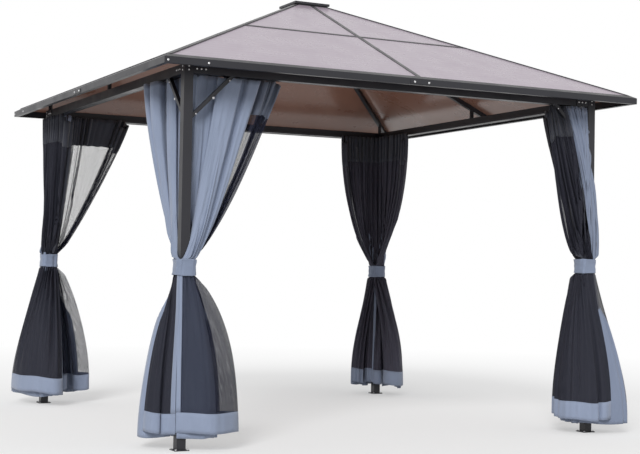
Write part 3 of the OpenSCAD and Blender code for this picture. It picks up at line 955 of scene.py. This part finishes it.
def make_corner_hardware(i):
    """Screws and plates where a post meets its headers, braces and floor, in the corner's frame."""
    screws, plates = bmesh.new(), bmesh.new()
    brace_mid = (BRACE_BOX[0].z + BRACE_BOX[1].z) / 2
    cleat_face = HEADER_FACE - CLEAT_THICKNESS
    for swap in (False, True):
        def at(u, v, z):
            return (v, u, z) if swap else (u, v, z)

        def screw(u, v, z, head=SMALL_HEAD):
            screw_into(screws, at(u, v, z), at(0, -1, 0), head)

        # Cleat on the header's outer face, next to the post.
        plate_into(plates, at(POST_HALF, cleat_face, HEADER_UNDER + 0.004),
                   at(POST_HALF + CLEAT_LENGTH, HEADER_FACE, HEADER_UNDER + 0.044), EASED_EDGE)
        for du in CLEAT_SCREWS:
            screw(POST_HALF + du, cleat_face, HEADER_UNDER + 0.024)
        # Post top screws.
        for dz in POST_SCREWS:
            screw(0.0, -POST_HALF, HEADER_UNDER + dz)
        # Knee brace: one bolt through its middle, and one screw at each end.
        screw(0.145, BRACE_FACE, brace_mid, BRACE_HEAD)
        screw(0.049, BRACE_FACE, BRACE_BOX[0].z + 0.030)
        screw(0.236, BRACE_FACE, BRACE_BOX[1].z - 0.022)
    for u in (-FOOT_BOLT_OUT, FOOT_BOLT_OUT):
        for v in (-FOOT_BOLT_OUT, FOOT_BOLT_OUT):
            screw_into(screws, (u, v, FOOT_PLATE_TOP), (0, 0, 1), FOOT_HEAD)
    turn = corner_matrix(i)
    piece_of_bmesh("corner_screws_" + CORNERS[i], screws, ZINC, turn, True)
    piece_of_bmesh("corner_cleats_" + CORNERS[i], plates, METAL, turn, False)


def make_eave_hardware(i):
    """Screws along one eave rail and the plate that joins its two lengths."""
    screws, plates = bmesh.new(), bmesh.new()
    face, low, end = EAVE_BOX[0].y, EAVE_BOX[0].z, EAVE_BOX[1].x
    plate_face = face - EAVE_PLATE_THICKNESS
    plate_into(plates, (-EAVE_PLATE_HALF, plate_face, low + 0.004),
               (EAVE_PLATE_HALF, face, low + 0.026), 0.001)
    for x in (-0.045, 0.045):
        screw_into(screws, (x, plate_face, low + 0.015), (0, -1, 0), EAVE_HEAD)
    for x in (-(end - 0.02), -(end - 0.24)):
        screw_into(screws, (x, face, low + 0.016), (0, -1, 0), EAVE_HEAD)
    piece_of_bmesh("eave_screws_" + SIDES[i], screws, ZINC, side_matrix(i), True)
    piece_of_bmesh("eave_plate_" + SIDES[i], plates, METAL, side_matrix(i), False)


# ---------------------------------------------------------------- stage, light and camera
WORLD_LIGHT = 0.44
SUN_LIGHT = 2.15
SUN_WIDTH = 22
SUN_FROM = (-0.64, -0.78, 0.62)
FLOOR_HALF = 120.0
# Between these distances from the middle the floor turns into the white background.
FLOOR_NEAR, FLOOR_FAR = 2.0, 8.0
CAMERA_AT = (-3.868, -7.976, 0.946)
CAMERA_TURN = (0.466, 0.031, 0.018)
CAMERA_LENS = 77.2


def seen_ray(tree):
    """1 for rays that show the background: straight, mirrored or through glass."""
    rays = add(tree, "ShaderNodeLightPath")
    both = maths(tree, "MAXIMUM", rays.outputs["Is Camera Ray"], rays.outputs["Is Glossy Ray"])
    return maths(tree, "MAXIMUM", both, rays.outputs["Is Transmission Ray"])


def mix_shaders(tree, factor, first, second, output):
    mix = add(tree, "ShaderNodeMixShader")
    tree.links.new(factor, mix.inputs["Fac"])
    tree.links.new(first, mix.inputs[1])
    tree.links.new(second, mix.inputs[2])
    tree.links.new(mix.outputs["Shader"], tree.nodes[output].inputs["Surface"])


def make_stage():
    """A pale floor that keeps the shadow and turns white away from the object."""
    mesh = bpy.data.meshes.new("floor")
    square = [(x * FLOOR_HALF, y * FLOOR_HALF, 0) for x, y in ((-1, -1), (1, -1), (1, 1), (-1, 1))]
    mesh.from_pydata(square, [], [(0, 1, 2, 3)])
    floor = bpy.data.objects.new("floor", mesh)
    bpy.context.scene.collection.objects.link(floor)
    mat, tree, shader = material("floor", Roughness=0.9)
    shader.inputs["Specular IOR Level"].default_value = 0.1
    where = coordinates(tree)
    grain = noise(tree, where, 60, 4)
    tree.links.new(blend(tree, grain, (0.90, 0.90, 0.90), (0.93, 0.93, 0.93)), shader.inputs["Base Color"])
    white = add(tree, "ShaderNodeEmission", Strength=1.0)
    far = add(tree, "ShaderNodeVectorMath", operation="LENGTH")
    tree.links.new(where, far.inputs[0])
    fade = spread(tree, far.outputs["Value"], FLOOR_NEAR, FLOOR_FAR, 0.45, 1.0)
    seen = maths(tree, "MULTIPLY", fade, seen_ray(tree))
    mix_shaders(tree, seen, shader.outputs["BSDF"], white.outputs["Emission"], "Material Output")
    mesh.materials.append(mat)


def make_world():
    """Even light on the object in front of a white background."""
    world = bpy.data.worlds.new("studio")
    bpy.context.scene.world = world
    world.use_nodes = True
    tree = world.node_tree
    dim = tree.nodes["Background"]
    white = add(tree, "ShaderNodeBackground")
    for shader, strength in ((dim, WORLD_LIGHT), (white, 1.0)):
        shader.inputs["Color"].default_value = (1, 1, 1, 1)
        shader.inputs["Strength"].default_value = strength
    mix_shaders(tree, seen_ray(tree), dim.outputs["Background"], white.outputs["Background"], "World Output")


def make_key_light():
    lamp = bpy.data.lights.new("key", "SUN")
    lamp.energy = SUN_LIGHT
    lamp.angle = math.radians(SUN_WIDTH)
    key = bpy.data.objects.new("key", lamp)
    key.matrix_world = Vector(SUN_FROM).to_track_quat("Z", "Y").to_matrix().to_4x4()
    bpy.context.scene.collection.objects.link(key)


def make_camera():
    """The photo's viewing angle, solved from the roof's corners and seams and the posts' feet."""
    yaw, pitch, roll = CAMERA_TURN
    forward = Vector((math.sin(yaw) * math.cos(pitch), math.cos(yaw) * math.cos(pitch), math.sin(pitch)))
    right = Vector((math.cos(yaw), -math.sin(yaw), 0))
    up = right.cross(forward)
    across = right * math.cos(roll) + up * math.sin(roll)
    above = up * math.cos(roll) - right * math.sin(roll)
    data = bpy.data.cameras.new("camera")
    data.lens = CAMERA_LENS
    data.sensor_width = 36
    camera = bpy.data.objects.new("camera", data)
    turn = Matrix((across, above, -forward)).transposed().to_4x4()
    camera.matrix_world = Matrix.Translation(CAMERA_AT) @ turn
    bpy.context.scene.collection.objects.link(camera)
    bpy.context.scene.camera = camera


# ---------------------------------------------------------------- the whole
make_camera()
make_world()
make_key_light()
make_stage()
dress_cad()
for i in range(4):
    make_curtain(FIRST[i], i, False, 11 + i)
    make_curtain(SECOND[i], i, True, 31 + i)
    make_tieback(i, 51 + i)
    make_corner_hardware(i)
    make_eave_hardware(i)

bpy.context.scene.view_settings.view_transform = "Standard"
